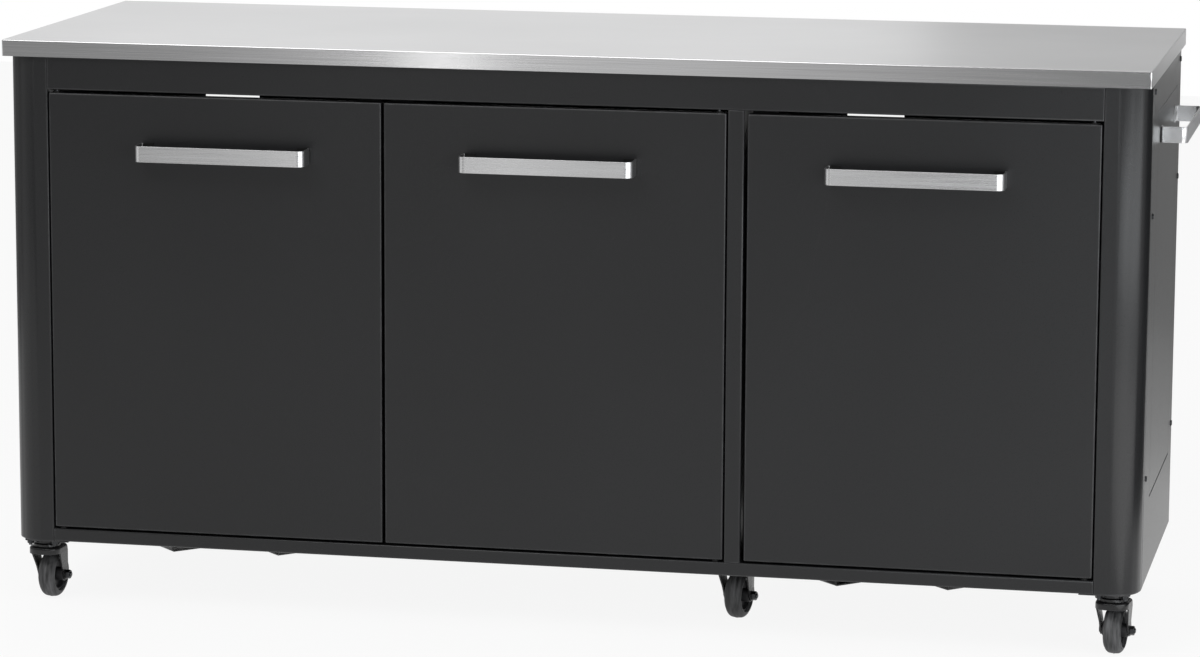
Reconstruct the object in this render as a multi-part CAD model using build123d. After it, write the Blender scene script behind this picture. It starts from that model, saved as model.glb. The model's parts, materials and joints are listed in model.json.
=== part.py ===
from build123d import *
import os

# Rolling outdoor-kitchen table: a folded sheet-steel cabinet with three doors, under a stainless
# worktop, on six swivel casters. Sizes are in millimetres. +X is to the right as seen from the
# front, +Y goes to the back, +Z is up. The origin is on the floor, in the middle of the table.

# Worktop: one stainless sheet, folded down on four sides and back in under itself
TABLE_WIDTH = 1800.0
TABLE_HEIGHT = 910.0
WORKTOP_DEPTH = 632.0
WORKTOP_FOLD = 26.0
WORKTOP_SHEET = 1.5
WORKTOP_LIP = 15.0
WORKTOP_EDGE_RADIUS = 2.0
STIFFENER_WIDTH = 40.0
STIFFENER_FOOT = 15.0
STIFFENER_SHEET = 1.5
STIFFENER_END_GAP = 1.0

# Cabinet frame of folded steel sheet
CABINET_DEPTH = 556.0
FRONT_OVERHANG = 8.0
SIDE_OVERHANG = 1.5
FRAME_SHEET = 1.5
BEND_RADIUS = 2.5
JOINT_GAP = 0.2
POST_WIDTH = 69.5
POST_RADIUS = 50.0
POST_JAMB = 30.0
POST_FLANGE = 40.0
JOGGLE_LENGTH = 3.0
FASCIA_HEIGHT = 52.0
SILL_HEIGHT = 21.0
RAIL_DEPTH = 40.0
MULLION_WIDTH = 25.5
MULLION_RETURN = 25.0

# Side walls: a pressed frame with a window, and a flat panel that fills the window
SIDE_STILE_DEPTH = 98.0
SIDE_REAR_STILE_DEPTH = 61.0
SIDE_LOWER_BAND = 124.0
SIDE_FLANGE = 12.0
SIDE_REAR_RETURN = 30.0
SIDE_REBATE = 12.0
SIDE_REBATE_LAP = 6.0
PANEL_REVEAL = 1.0
PANEL_LOWER_REVEAL = 3.0
SIDE_SCREW_DROPS = (14.0, 204.0)
SIDE_SCREW_RISE = 168.0
SIDE_SCREW_FROM_POST = 26.0
SIDE_SCREW_FROM_BACK = 20.0
SCREW_HEAD_DIAMETER = 9.0
SCREW_HEAD_HEIGHT = 2.2
SCREW_DIAMETER = 5.0
SCREW_LENGTH = 8.0
SCREW_CLEARANCE = 0.1
SOCKET_HEX = 3.0
SOCKET_DEPTH = 1.3

# Back wall and floor
WALL_SHEET = 1.2
NUT_STRIP_DEPTH = 30.0
NUT_STRIP_THICKNESS = 5.0
HOSE_OPENING_WIDTH = 94.0
HOSE_OPENING_HEIGHT = 46.0
HOSE_OPENING_RADIUS = 8.0
HOSE_OPENING_DROP = 124.0
HOSE_OPENING_X = (-690.0, 404.0)
FLOOR_SIDE_GAP = 0.4
BOTTLE_HOLE_DIAMETER = 300.0
BOTTLE_X = (-592.0, 498.5)
BOTTLE_FROM_FRONT = 283.0
CRADLE_STRAP_WIDTH = 50.0
CRADLE_STRAP_SHEET = 2.5
CRADLE_HEIGHT = 61.0
CRADLE_FOOT = 25.0
CRADLE_BEND_RADIUS = 4.0
CRADLE_ANGLES = (45.0, -45.0)

# Doors: an outer tray and an inner liner, on pivot pins in plastic bushes
DOOR_THICKNESS = 20.0
DOOR_SHEET = 1.2
DOOR_EDGE_RADIUS = 2.0
DOOR_TOP_GAP = 5.0
DOOR_BOTTOM_GAP = 3.5
HINGE_GAP = 2.2
MEETING_GAP = 4.5
MULLION_GAP = 5.5
LINER_FLANGE = 8.0
LINER_CLEARANCE = 0.2
PIVOT_FROM_EDGE = 12.0
PIVOT_FROM_FACE = 6.0
PIN_DIAMETER = 5.0
PIN_CLEARANCE = 0.06
PIN_ENGAGEMENT = 12.0
PIN_HEAD_HEIGHT = 2.5
BUSH_DIAMETER = 9.0
BUSH_LENGTH = 16.0
BUSH_FLANGE_DIAMETER = 11.0
BUSH_CLEARANCE = 0.1
BUSH_AXIAL_GAP = 0.3
CATCH_WIDTH = 38.0
CATCH_DEPTH = 14.0
CATCH_HEIGHT = 20.0
CATCH_FROM_EDGE = 24.0
CATCH_GAP = 0.3

# Pull handles of bent stainless strip
HANDLE_LENGTH = 274.0
HANDLE_HEIGHT = 25.0
HANDLE_REACH = 42.0
HANDLE_STRIP = 2.5
HANDLE_CORNER_RADIUS = 9.0
HANDLE_FOOT = 18.0
HANDLE_FOOT_RADIUS = 3.5
DOOR_HANDLE_DROP = 87.0
DOOR_HANDLE_SHIFTS = (18.5, 6.0, 8.5)
SIDE_HANDLE_DROP = 118.5

# Casters
WHEEL_DIAMETER = 75.0
TYRE_WIDTH = 28.0
TYRE_DEPTH = 10.0
TYRE_SHOULDER_RADIUS = 9.0
TYRE_SEAT_GAP = 0.15
HUB_RIM_THICKNESS = 4.0
HUB_WEB_THICKNESS = 7.0
HUB_BOSS_DIAMETER = 22.0
HUB_SIDE_GAP = 1.0
AXLE_DIAMETER = 8.0
AXLE_CLEARANCE = 0.08
AXLE_HEAD_DIAMETER = 13.0
AXLE_HEAD_HEIGHT = 2.0
AXLE_HEX = 13.0
AXLE_NUT_HEIGHT = 6.5
AXLE_TIP = 2.0
FORK_INSIDE_WIDTH = 41.0
FORK_SHEET = 2.5
FORK_CROWN_WIDTH = 52.0
FORK_CROWN_LENGTH = 46.0
FORK_CROWN_NOSE = 26.0
FORK_NOSE_RADIUS = 20.0
FORK_SKIRT = 12.0
FORK_KNEE = 14.0
FORK_BEND_RADIUS = 5.0
FORK_BOSS_RADIUS = 9.0
FORK_TRAIL = 24.0
CROWN_CLEARANCE = 12.5
RACE_DIAMETER = 45.0
RACE_HEIGHT = 4.0
RACE_GAP = 0.5
DOME_DIAMETER = 42.0
DOME_HEIGHT = 7.0
DOME_EDGE_RADIUS = 2.5
KINGPIN_DIAMETER = 10.0
KINGPIN_CLEARANCE = 0.08
KINGPIN_HEAD_DIAMETER = 16.0
KINGPIN_HEAD_HEIGHT = 3.0
TOP_PLATE_WIDTH = 56.0
TOP_PLATE_LENGTH = 60.0
TOP_PLATE_SHEET = 2.5
TOP_PLATE_RADIUS = 6.0
CASTER_BOLT_SPACING_X = 40.0
CASTER_BOLT_SPACING_Y = 44.0
CASTER_BOLT_DIAMETER = 6.0
CASTER_BOLT_CLEARANCE = 0.3
CASTER_BOLT_HEX = 10.0
CASTER_BOLT_HEAD = 4.0
CASTER_NUT_HEIGHT = 5.0
CASTER_BOLT_TIP = 3.0
MOUNT_SHEET = 2.0
MOUNT_LAP = 22.0
MOUNT_LENGTH = 90.0
MOUNT_SETBACK = 2.0
MOUNT_HAT_WIDTH = 64.0
MOUNT_HAT_FOOT = 16.0
CASTER_FROM_SIDE = 42.0
BACK_CASTER_FROM_SIDE = 62.0
CASTER_FROM_FRONT = 44.0
CASTER_FROM_BACK = 56.0
MIDDLE_CASTER_X = 248.0
MIDDLE_CASTER_FROM_FRONT = 146.0
MIDDLE_CASTER_FROM_BACK = 90.0

# Heights, from the floor up
AXLE_Z = WHEEL_DIAMETER / 2
CROWN_Z = WHEEL_DIAMETER + CROWN_CLEARANCE
RACE_Z = CROWN_Z + FORK_SHEET
DOME_Z = RACE_Z + RACE_HEIGHT + RACE_GAP
TOP_PLATE_Z = DOME_Z + DOME_HEIGHT
MOUNT_Z = TOP_PLATE_Z + TOP_PLATE_SHEET
BASE_Z = MOUNT_Z + MOUNT_SHEET
SILL_Z = BASE_Z + SILL_HEIGHT
CABINET_TOP_Z = TABLE_HEIGHT - WORKTOP_FOLD
RAIL_Z = CABINET_TOP_Z - FASCIA_HEIGHT
DOOR_BOTTOM_Z = SILL_Z + DOOR_BOTTOM_GAP
DOOR_TOP_Z = RAIL_Z - DOOR_TOP_GAP
DOOR_HANDLE_Z = DOOR_TOP_Z - DOOR_HANDLE_DROP
SIDE_HANDLE_Z = TABLE_HEIGHT - SIDE_HANDLE_DROP
HOSE_OPENING_Z = CABINET_TOP_Z - HOSE_OPENING_DROP

# Depths: the overall box runs from the front of the door handles to the back of the worktop
OVERALL_DEPTH = WORKTOP_DEPTH + HANDLE_REACH - FRONT_OVERHANG
FRONT_Y = HANDLE_REACH - OVERALL_DEPTH / 2
BACK_Y = FRONT_Y + CABINET_DEPTH
WORKTOP_FRONT_Y = FRONT_Y - FRONT_OVERHANG
BACK_WALL_Y = BACK_Y - FRAME_SHEET
BACK_WALL_FACE_Y = BACK_WALL_Y - WALL_SHEET
FLOOR_FRONT_Y = FRONT_Y + RAIL_DEPTH
WINDOW_FRONT_Y = FRONT_Y + POST_RADIUS + SIDE_STILE_DEPTH
WINDOW_BACK_Y = BACK_Y - SIDE_REAR_STILE_DEPTH
SIDE_HANDLE_Y = (WINDOW_FRONT_Y + WINDOW_BACK_Y) / 2

# Widths
SIDE_X = TABLE_WIDTH / 2 - SIDE_OVERHANG
JAMB_X = SIDE_X - POST_WIDTH
WALL_X = SIDE_X - FRAME_SHEET
FLOOR_X = SIDE_X - 2 * FRAME_SHEET - JOINT_GAP - FLOOR_SIDE_GAP
DOOR_GAPS = 3 * HINGE_GAP + MEETING_GAP + MULLION_GAP
DOOR_WIDTH = (2 * JAMB_X - MULLION_WIDTH - DOOR_GAPS) / 3
DOOR_HEIGHT = DOOR_TOP_Z - DOOR_BOTTOM_Z
LEFT_DOOR_X = -JAMB_X + HINGE_GAP
MIDDLE_DOOR_X = LEFT_DOOR_X + DOOR_WIDTH + MEETING_GAP
MULLION_X = MIDDLE_DOOR_X + DOOR_WIDTH + HINGE_GAP
RIGHT_DOOR_X = MULLION_X + MULLION_WIDTH + MULLION_GAP

# Doors: name, left edge and the side of the pivot, -1 at the left and 1 at the right
DOORS = (
    ("left", LEFT_DOOR_X, -1),
    ("middle", MIDDLE_DOOR_X, 1),
    ("right", RIGHT_DOOR_X, 1),
)
HINGE_Y = FRONT_Y + PIVOT_FROM_FACE
PIN_HEAD_DIAMETER = 2 * (PIVOT_FROM_FACE - BEND_RADIUS - JOINT_GAP)

# Casters: name and the place of the swivel axis
CASTER_X = SIDE_X - CASTER_FROM_SIDE
BACK_CASTER_X = SIDE_X - BACK_CASTER_FROM_SIDE
FRONT_CASTER_Y = FRONT_Y + CASTER_FROM_FRONT
BACK_CASTER_Y = BACK_Y - CASTER_FROM_BACK
CORNER_CASTERS = {
    "front_left": (-CASTER_X, FRONT_CASTER_Y),
    "front_right": (CASTER_X, FRONT_CASTER_Y),
    "back_left": (-BACK_CASTER_X, BACK_CASTER_Y),
    "back_right": (BACK_CASTER_X, BACK_CASTER_Y),
}
MIDDLE_CASTERS = {
    "front_middle": (MIDDLE_CASTER_X, FRONT_Y + MIDDLE_CASTER_FROM_FRONT),
    "back_middle": (MIDDLE_CASTER_X, BACK_Y - MIDDLE_CASTER_FROM_BACK),
}
CASTERS = {**CORNER_CASTERS, **MIDDLE_CASTERS}

# The front casters stand a little swivelled, at these angles about +Z.
CASTER_TURNS = {"front_left": -5.0, "front_right": -6.5, "front_middle": -11.0}

# Planes for profiles: across the table, seen from its right end; and front view
END_VIEW = Plane(origin=(0, 0, 0), x_dir=(0, 1, 0), z_dir=(1, 0, 0))
FRONT_VIEW = Plane(origin=(0, 0, 0), x_dir=(1, 0, 0), z_dir=(0, -1, 0))


def block(x0, x1, y0, y1, z0, z1):
    """A block between two opposite corners."""
    centre = Pos((x0 + x1) / 2, (y0 + y1) / 2, (z0 + z1) / 2)
    return centre * Box(x1 - x0, y1 - y0, z1 - z0)


def rod(diameter, z0, z1, x=0.0, y=0.0):
    """An upright round bar from one height to another."""
    return Pos(x, y, (z0 + z1) / 2) * Cylinder(diameter / 2, z1 - z0)


def hexagon_bar(across_flats, z0, z1):
    """An upright hexagonal bar with turned corners: a bolt head or a nut."""
    outline = RegularPolygon(across_flats / 2, 6, major_radius=False)
    bar = Pos(0, 0, z0) * extrude(outline, z1 - z0)
    across_corners = 2 * outline.bounding_box().max.X
    turned = rod(across_corners, z0, z1)
    return bar & chamfer(turned.edges().filter_by(GeomType.CIRCLE), (across_corners - across_flats) / 2)


def folded(points, radii, sheet, length, side=Side.LEFT, plane=Plane.XY):
    """A folded strip: a bent outline thickened to one side and extruded from the plane."""
    outline = FilletPolyline(*points, radius=radii)
    section = make_face(outline.offset_2d(sheet, side=side).edges())
    return extrude(plane * section, length, dir=plane.z_dir)


def only_solid(shape):
    """The single solid of a finished piece."""
    return shape.solids()[0]


def mirrored(shape):
    """The same piece for the other end of the table."""
    return mirror(shape, Plane.YZ)


def group(shapes):
    """Separate solids that share one node."""
    return Compound(children=[only_solid(shape) for shape in shapes])


def worktop():
    """Stainless sheet with its folds, its lips and softened edges, hollow from below."""
    outline = RectangleRounded(TABLE_WIDTH, WORKTOP_DEPTH, WORKTOP_EDGE_RADIUS)
    slab = extrude(outline, WORKTOP_FOLD)
    slab = fillet(slab.faces().sort_by(Axis.Z)[-1].edges(), WORKTOP_EDGE_RADIUS)
    inside_width = TABLE_WIDTH - 2 * WORKTOP_SHEET
    inside_depth = WORKTOP_DEPTH - 2 * WORKTOP_SHEET
    hollow = Rectangle(inside_width, inside_depth)
    mouth = Rectangle(inside_width - 2 * WORKTOP_LIP, inside_depth - 2 * WORKTOP_LIP)
    slab -= Pos(0, 0, WORKTOP_SHEET) * extrude(hollow, WORKTOP_FOLD - 2 * WORKTOP_SHEET)
    slab -= extrude(mouth, WORKTOP_SHEET)
    return Pos(0, WORKTOP_FRONT_Y + WORKTOP_DEPTH / 2, CABINET_TOP_Z) * slab


def worktop_stiffeners():
    """Hat channels under the sheet, from front to back, that rest on the cabinet."""
    top = TABLE_HEIGHT - WORKTOP_SHEET
    half = STIFFENER_WIDTH / 2
    foot = half + STIFFENER_FOOT
    foot_top = CABINET_TOP_Z + STIFFENER_SHEET
    points = [(-foot, foot_top), (-half, foot_top), (-half, top)]
    points += [(half, top), (half, foot_top), (foot, foot_top)]
    end_space = WORKTOP_SHEET + WORKTOP_LIP + STIFFENER_END_GAP
    length = WORKTOP_DEPTH - 2 * end_space
    channel = folded(points, BEND_RADIUS, STIFFENER_SHEET, length, Side.RIGHT, FRONT_VIEW)
    back = WORKTOP_FRONT_Y + WORKTOP_DEPTH - end_space
    seam_x = LEFT_DOOR_X + DOOR_WIDTH + MEETING_GAP / 2
    places = (-JAMB_X, seam_x, MULLION_X + MULLION_WIDTH / 2, JAMB_X)
    return group([Pos(x, back, 0) * channel for x in places])


def corner_post():
    """Right front post: a door jamb, a large round corner and a joggled flange for the side."""
    flange_x = SIDE_X - FRAME_SHEET - JOINT_GAP
    joggle_y = FRONT_Y + POST_RADIUS
    flange_y = joggle_y + JOGGLE_LENGTH
    points = [(JAMB_X, FRONT_Y + POST_JAMB), (JAMB_X, FRONT_Y), (SIDE_X, FRONT_Y)]
    points += [(SIDE_X, joggle_y), (flange_x, flange_y), (flange_x, joggle_y + POST_FLANGE)]
    # The round corner ends where the joggle starts, so it is a whisker under its full radius.
    corner = POST_RADIUS - BEND_RADIUS
    radii = [BEND_RADIUS, corner, BEND_RADIUS, BEND_RADIUS]
    post = Pos(0, 0, BASE_Z) * folded(points, radii, FRAME_SHEET, CABINET_TOP_Z - BASE_Z)
    return post - side_screw_holes(flange_x - FRAME_SHEET, flange_x)


def cross_rail(bottom, top):
    """A channel between the posts, open to the back."""
    back = FRONT_Y + RAIL_DEPTH
    points = [(back, bottom), (FRONT_Y, bottom), (FRONT_Y, top), (back, top)]
    channel = folded(points, BEND_RADIUS, FRAME_SHEET, 2 * JAMB_X, Side.RIGHT, END_VIEW)
    return Pos(-JAMB_X, 0, 0) * channel


def pivot_x(left, pivot_side):
    """The X of a door's pivot axis."""
    edge = left if pivot_side < 0 else left + DOOR_WIDTH
    return edge - pivot_side * PIVOT_FROM_EDGE


def pin_holes(z0, z1):
    """Holes for the three pivot pins, between two heights."""
    diameter = PIN_DIAMETER + 2 * PIN_CLEARANCE
    return [rod(diameter, z0, z1, pivot_x(left, side), HINGE_Y) for _, left, side in DOORS]


def top_rail():
    """Fascia above the doors, with holes for the upper pivot pins."""
    return cross_rail(RAIL_Z, CABINET_TOP_Z) - pin_holes(RAIL_Z, RAIL_Z + FRAME_SHEET)


def bottom_rail():
    """Sill below the doors, with holes for the lower pivot pins."""
    return cross_rail(BASE_Z, SILL_Z) - pin_holes(SILL_Z - FRAME_SHEET, SILL_Z)


def divider_wall():
    """The wall between the wide bay and the right bay; its front edge is folded to the mullion."""
    right = MULLION_X + MULLION_WIDTH
    points = [(MULLION_X, BACK_WALL_FACE_Y), (MULLION_X, FRONT_Y)]
    points += [(right, FRONT_Y), (right, FRONT_Y + MULLION_RETURN)]
    front = Pos(0, 0, SILL_Z) * folded(points, BEND_RADIUS, FRAME_SHEET, RAIL_Z - SILL_Z)
    upper = block(MULLION_X, MULLION_X + FRAME_SHEET, FLOOR_FRONT_Y, BACK_WALL_FACE_Y, RAIL_Z, CABINET_TOP_Z)
    return front + upper


def window_block(margin, x0, x1):
    """A block the size of a side window, grown by a margin all round."""
    low = BASE_Z + SIDE_LOWER_BAND
    return block(x0, x1, WINDOW_FRONT_Y - margin, WINDOW_BACK_Y + margin, low - margin, RAIL_Z + margin)


def screw_places():
    """The side screws' places along the side wall: depth and height."""
    depths = (FRONT_Y + POST_RADIUS + SIDE_SCREW_FROM_POST, BACK_Y - SIDE_SCREW_FROM_BACK)
    heights = [CABINET_TOP_Z - drop for drop in SIDE_SCREW_DROPS] + [BASE_Z + SIDE_SCREW_RISE]
    return [(y, z) for y in depths for z in heights]


def side_screw_holes(x0, x1):
    """Holes through the right side wall for its screws."""
    diameter = SCREW_DIAMETER + 2 * SCREW_CLEARANCE
    hole = Rot(0, 90, 0) * rod(diameter, x0, x1)
    return [Pos(0, y, z) * hole for y, z in screw_places()]


def side_frame():
    """Right side frame: a pressed sheet with a rear return, flanges and a rebated window."""
    front = FRONT_Y + POST_RADIUS + JOINT_GAP + JOGGLE_LENGTH
    points = [(SIDE_X, front), (SIDE_X, BACK_Y), (SIDE_X - SIDE_REAR_RETURN, BACK_Y)]
    wall = Pos(0, 0, BASE_Z) * folded(points, BEND_RADIUS, FRAME_SHEET, CABINET_TOP_Z - BASE_Z)
    flange_front = FRONT_Y + POST_RADIUS + POST_FLANGE + JOINT_GAP
    flange_back = BACK_WALL_FACE_Y - NUT_STRIP_DEPTH
    for low in (BASE_Z, CABINET_TOP_Z - FRAME_SHEET):
        wall += block(SIDE_X - SIDE_FLANGE, WALL_X, flange_front, flange_back, low, low + FRAME_SHEET)
    wall += window_block(SIDE_REBATE_LAP, WALL_X - FRAME_SHEET, WALL_X)
    wall -= window_block(0, WALL_X, SIDE_X)
    wall -= window_block(-SIDE_REBATE, WALL_X - FRAME_SHEET, WALL_X)
    return wall - side_screw_holes(WALL_X, SIDE_X)


def handle_screw_offset():
    """The distance of a handle's screws from its middle."""
    return HANDLE_LENGTH / 2 - HANDLE_STRIP - HANDLE_FOOT / 2


def side_panel():
    """Right side panel: a flat sheet in the window, with the handle's screw holes."""
    low = BASE_Z + SIDE_LOWER_BAND + PANEL_LOWER_REVEAL
    front = WINDOW_FRONT_Y + PANEL_REVEAL
    panel = block(WALL_X, SIDE_X, front, WINDOW_BACK_Y - PANEL_REVEAL, low, RAIL_Z - PANEL_REVEAL)
    hole = Rot(0, 90, 0) * rod(SCREW_DIAMETER + 2 * SCREW_CLEARANCE, WALL_X, SIDE_X)
    for side in (-1, 1):
        panel -= Pos(0, SIDE_HANDLE_Y + side * handle_screw_offset(), SIDE_HANDLE_Z) * hole
    return panel


def back_panel():
    """Flat back wall inside the side frames' rear returns, with two rounded hose openings."""
    half = WALL_X - BEND_RADIUS
    wall = block(-half, half, BACK_WALL_FACE_Y, BACK_WALL_Y, BASE_Z, CABINET_TOP_Z)
    opening = RectangleRounded(HOSE_OPENING_WIDTH, HOSE_OPENING_HEIGHT, HOSE_OPENING_RADIUS)
    cutter = extrude(FRONT_VIEW * opening, WALL_SHEET, dir=(0, -1, 0))
    for x in HOSE_OPENING_X:
        wall -= Pos(x, BACK_WALL_Y, HOSE_OPENING_Z) * cutter
    return wall


def nut_strip():
    """Tapped bar in the right rear corner, on the floor, that takes the rear side screws."""
    inner = WALL_X - NUT_STRIP_THICKNESS
    front = BACK_WALL_FACE_Y - NUT_STRIP_DEPTH
    bar = block(inner, WALL_X, front, BACK_WALL_FACE_Y, SILL_Z, CABINET_TOP_Z)
    return bar - side_screw_holes(inner, WALL_X)


def floor_panel():
    """Floor tray with its edges folded down and a round hole for a gas bottle in two bays."""
    bottom = BASE_Z + FRAME_SHEET
    under = SILL_Z - WALL_SHEET
    tray = block(-FLOOR_X, FLOOR_X, FLOOR_FRONT_Y, BACK_WALL_FACE_Y, bottom, SILL_Z)
    tray = fillet(tray.edges().filter_by(Axis.Z), BEND_RADIUS)
    inner_x = FLOOR_X - WALL_SHEET
    inner_front = FLOOR_FRONT_Y + WALL_SHEET
    tray -= block(-inner_x, inner_x, inner_front, BACK_WALL_FACE_Y - WALL_SHEET, bottom, under)
    for x in BOTTLE_X:
        tray -= rod(BOTTLE_HOLE_DIAMETER, under, SILL_Z, x, FRONT_Y + BOTTLE_FROM_FRONT)
    return tray


def cradle_strap(height):
    """One strap of a bottle cradle: a flat bar bent to a shallow U with feet under the floor."""
    top = SILL_Z - WALL_SHEET - CRADLE_STRAP_SHEET
    half = BOTTLE_HOLE_DIAMETER / 2 + CRADLE_STRAP_SHEET
    foot = half + CRADLE_FOOT
    points = [(-foot, top), (-half, top), (-half, height), (half, height), (half, top), (foot, top)]
    radii = CRADLE_BEND_RADIUS
    strap = folded(points, radii, CRADLE_STRAP_SHEET, CRADLE_STRAP_WIDTH, Side.LEFT, FRONT_VIEW)
    return Pos(0, CRADLE_STRAP_WIDTH / 2, 0) * strap


def bottle_cradles():
    """Two crossed straps under each bottle hole, the second lying on the first."""
    straps = []
    for x in BOTTLE_X:
        for layer, angle in enumerate(CRADLE_ANGLES):
            strap = cradle_strap(CRADLE_HEIGHT + layer * CRADLE_STRAP_SHEET)
            straps.append(Pos(x, FRONT_Y + BOTTLE_FROM_FRONT, 0) * Rot(0, 0, angle) * strap)
    return group(straps)


def door_skin(left, pivot_side):
    """Outer tray of a door, with soft edges and holes for the bushes and the handle's screws."""
    middle_z = (DOOR_BOTTOM_Z + DOOR_TOP_Z) / 2
    outline = RectangleRounded(DOOR_WIDTH, DOOR_HEIGHT, DOOR_EDGE_RADIUS)
    tray = extrude(FRONT_VIEW * outline, DOOR_THICKNESS, dir=(0, 1, 0))
    tray = fillet(tray.faces().sort_by(Axis.Y)[0].edges(), DOOR_EDGE_RADIUS)
    hollow = Rectangle(DOOR_WIDTH - 2 * DOOR_SHEET, DOOR_HEIGHT - 2 * DOOR_SHEET)
    hollow = extrude(FRONT_VIEW * hollow, DOOR_THICKNESS - DOOR_SHEET, dir=(0, 1, 0))
    tray -= Pos(0, DOOR_SHEET, 0) * hollow
    tray = Pos(left + DOOR_WIDTH / 2, FRONT_Y, middle_z) * tray
    bush_hole = BUSH_DIAMETER + 2 * BUSH_CLEARANCE
    tray -= rod(bush_hole, DOOR_BOTTOM_Z, DOOR_BOTTOM_Z + DOOR_SHEET, pivot_x(left, pivot_side), HINGE_Y)
    tray -= rod(bush_hole, DOOR_TOP_Z - DOOR_SHEET, DOOR_TOP_Z, pivot_x(left, pivot_side), HINGE_Y)
    hole = Rot(90, 0, 0) * rod(SCREW_DIAMETER + 2 * SCREW_CLEARANCE, -DOOR_SHEET, 0)
    for place in handle_screw_places(left, pivot_side):
        tray -= place * hole
    return tray


def door_liner(left):
    """Inner tray of a door, set in the back of the outer one."""
    gap = DOOR_SHEET + LINER_CLEARANCE
    width = DOOR_WIDTH - 2 * gap
    height = DOOR_HEIGHT - 2 * gap
    tray = extrude(FRONT_VIEW * Rectangle(width, height), LINER_FLANGE, dir=(0, -1, 0))
    hollow = Rectangle(width - 2 * DOOR_SHEET, height - 2 * DOOR_SHEET)
    hollow = extrude(FRONT_VIEW * hollow, LINER_FLANGE - DOOR_SHEET, dir=(0, -1, 0))
    tray -= Pos(0, -DOOR_SHEET, 0) * hollow
    middle_z = (DOOR_BOTTOM_Z + DOOR_TOP_Z) / 2
    return Pos(left + DOOR_WIDTH / 2, FRONT_Y + DOOR_THICKNESS, middle_z) * tray


def strip_handle():
    """Pull handle of one bent strip, with turned-in feet on the plane Y = 0, reaching to -Y."""
    half = HANDLE_LENGTH / 2
    toe = half - HANDLE_STRIP - HANDLE_FOOT
    points = [(-toe, 0), (-half, 0), (-half, -HANDLE_REACH)]
    points += [(half, -HANDLE_REACH), (half, 0), (toe, 0)]
    radii = [HANDLE_FOOT_RADIUS, HANDLE_CORNER_RADIUS, HANDLE_CORNER_RADIUS, HANDLE_FOOT_RADIUS]
    strip = Pos(0, 0, -HANDLE_HEIGHT / 2) * folded(points, radii, HANDLE_STRIP, HANDLE_HEIGHT)
    hole = Rot(90, 0, 0) * rod(SCREW_DIAMETER + 2 * SCREW_CLEARANCE, 0, HANDLE_STRIP)
    for side in (-1, 1):
        strip -= Pos(side * handle_screw_offset(), 0, 0) * hole
    return strip


def handle_place(left, pivot_side):
    """Where a door's handle sits on its skin, a little towards the free edge."""
    shift = DOOR_HANDLE_SHIFTS[[door[1] for door in DOORS].index(left)]
    return Pos(left + DOOR_WIDTH / 2 - pivot_side * shift, FRONT_Y, DOOR_HANDLE_Z)


def handle_screw_places(left, pivot_side):
    """The places of a door handle's two screws, on the door's face."""
    offsets = (-handle_screw_offset(), handle_screw_offset())
    return [handle_place(left, pivot_side) * Pos(x, 0, 0) for x in offsets]


def side_handle():
    """The right side handle, on the side panel."""
    place = Pos(SIDE_X, SIDE_HANDLE_Y, SIDE_HANDLE_Z)
    return place * Rot(0, 0, 90) * strip_handle()


def handle_screw(wall):
    """A screw along +Y whose head lies behind a wall on the plane Y = 0."""
    length = wall + HANDLE_STRIP
    screw = rod(SCREW_DIAMETER, -length, 0)
    screw += rod(SCREW_HEAD_DIAMETER, 0, SCREW_HEAD_HEIGHT)
    return Pos(0, wall, 0) * Rot(-90, 0, 0) * screw


def door_handle_screws(left, pivot_side):
    """The two screws of a door handle, put in from inside the door."""
    places = handle_screw_places(left, pivot_side)
    return group([place * handle_screw(DOOR_SHEET) for place in places])


def side_screws():
    """Round-headed socket screws of both side walls, and the side handles' screws from inside."""
    screw = rod(SCREW_DIAMETER, -SCREW_LENGTH, 0)
    head = rod(SCREW_HEAD_DIAMETER, 0, SCREW_HEAD_HEIGHT)
    head = fillet(head.edges().sort_by(Axis.Z)[-1], SCREW_HEAD_HEIGHT / 2)
    socket = RegularPolygon(SOCKET_HEX / 2, 6, major_radius=False)
    socket = Pos(0, 0, SCREW_HEAD_HEIGHT - SOCKET_DEPTH) * extrude(socket, SOCKET_DEPTH)
    screw = Rot(0, 90, 0) * (screw + head - socket)
    right = [Pos(SIDE_X, y, z) * screw for y, z in screw_places()]
    middle = Pos(SIDE_X, SIDE_HANDLE_Y, SIDE_HANDLE_Z)
    for offset in (-handle_screw_offset(), handle_screw_offset()):
        right.append(middle * Rot(0, 0, 90) * Pos(offset, 0, 0) * handle_screw(FRAME_SHEET))
    return group(right + [mirrored(piece) for piece in right])


def bush(flange):
    """A flanged bush for a pivot pin, its flange on top of the plane Z = 0."""
    sleeve = rod(BUSH_DIAMETER, -BUSH_LENGTH, 0)
    sleeve += rod(BUSH_FLANGE_DIAMETER, 0, flange)
    return sleeve - rod(PIN_DIAMETER + 2 * PIN_CLEARANCE, -BUSH_LENGTH, flange)


def door_bushes(left, pivot_side):
    """Upper and lower bush of a door; the lower flange carries the door on the sill."""
    x = pivot_x(left, pivot_side)
    upper = Pos(x, HINGE_Y, DOOR_TOP_Z) * bush(DOOR_TOP_GAP / 2)
    lower = bush(DOOR_BOTTOM_GAP - BUSH_AXIAL_GAP)
    lower = Pos(x, HINGE_Y, DOOR_BOTTOM_Z) * Rot(180, 0, 0) * lower
    return group([upper, lower])


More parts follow.
